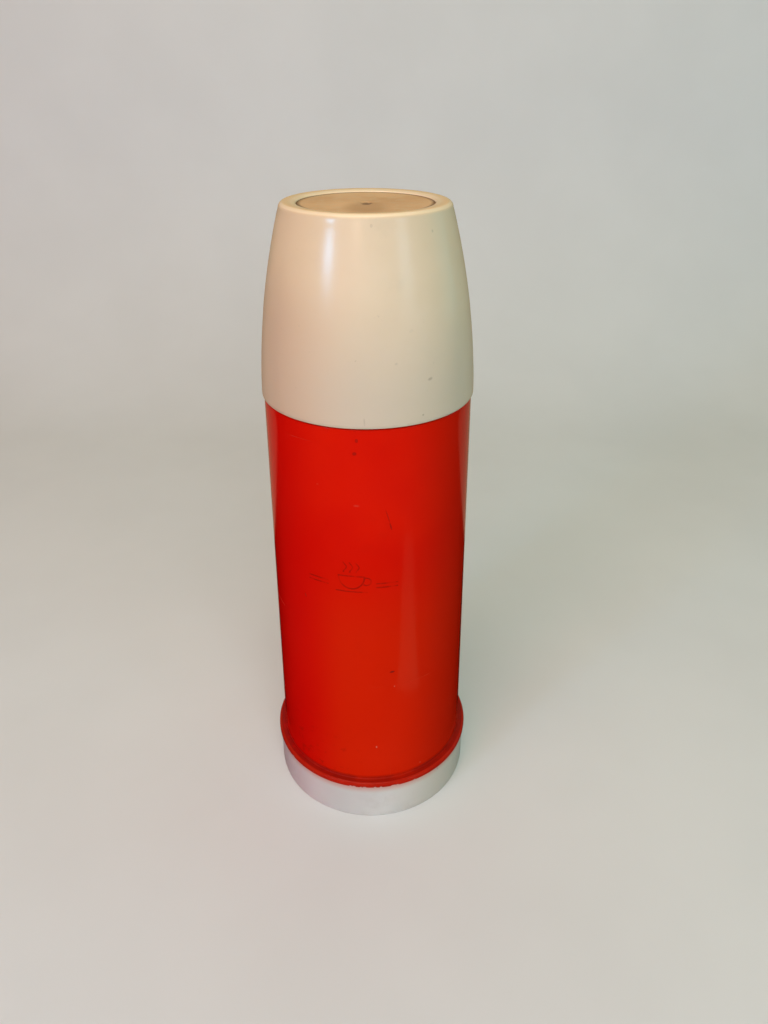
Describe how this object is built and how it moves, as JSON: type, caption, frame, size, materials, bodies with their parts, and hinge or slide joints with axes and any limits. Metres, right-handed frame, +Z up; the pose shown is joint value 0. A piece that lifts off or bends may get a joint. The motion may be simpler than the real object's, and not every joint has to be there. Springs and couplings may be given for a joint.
{
  "type": "vacuum flask",
  "caption": "Upright vacuum flask: tapered case with a flared lip and screw base, glass vacuum vessel, screw stopper and a cup screwed on upside down as its lid.",
  "frame": {"origin": "centre of the foot, on the surface the flask stands on", "axes": "+Z up along the flask's axis; -Y is the front"},
  "size_m": [0.092, 0.092, 0.2625],
  "materials": {
    "cream_plastic": "satin",
    "foot_disc_plastic": "matte",
    "red_plastic": "satin",
    "white_plastic": "satin",
    "stopper_plastic": "satin",
    "cork": "matte",
    "seal_rubber": "matte",
    "cushion_rubber": "matte",
    "silvered_glass": "polished",
    "spacer_pad": "matte",
    "packing_card": "matte",
    "packing_foam": "matte"
  },
  "bodies": {
    "flask": {"neck_collar": "white_plastic", "collar_gasket": "seal_rubber", "neck_seal": "seal_rubber", "glass_inner_vessel": "silvered_glass", "glass_outer_vessel": "silvered_glass", "vacuum_spacers": "spacer_pad", "tip_protector": "cushion_rubber", "shoulder_cushion": "packing_foam", "packing_sleeve": "packing_card", "bottom_cushion": "cushion_rubber", "case": "red_plastic", "base": "white_plastic", "base_seal": "seal_rubber"},
    "stopper_carrier": {"stopper_washer": "seal_rubber"},
    "stopper": {"stopper_shell": "stopper_plastic", "stopper_lid": "stopper_plastic", "stopper_core": "cork"},
    "cup_carrier": {"cup_foot_disc": "foot_disc_plastic"},
    "cup": {"cup": "cream_plastic"}
  },
  "joints": [
    {"name": "stopper_rise", "type": "slide", "parent": "flask", "child": "stopper_carrier", "axis": [0, 0, 1], "range_m": [0, 0.04]},
    {"name": "stopper_turn", "type": "hinge", "parent": "stopper_carrier", "child": "stopper", "pos_m": [0, 0, 0.215], "axis": [0, 0, 1], "range_deg": [0, 2880]},
    {"name": "cup_rise", "type": "slide", "parent": "stopper", "child": "cup_carrier", "axis": [0, 0, 1], "range_m": [0, 0.05]},
    {"name": "cup_turn", "type": "hinge", "parent": "cup_carrier", "child": "cup", "pos_m": [0, 0, 0.205], "axis": [0, 0, 1], "range_deg": [0, 3600]}
  ],
  "couplings": [
    {"joint": "stopper_rise", "follows": "stopper_turn", "m_per_rad": 0.00079577},
    {"joint": "cup_rise", "follows": "cup_turn", "m_per_rad": 0.00079577}
  ]
}
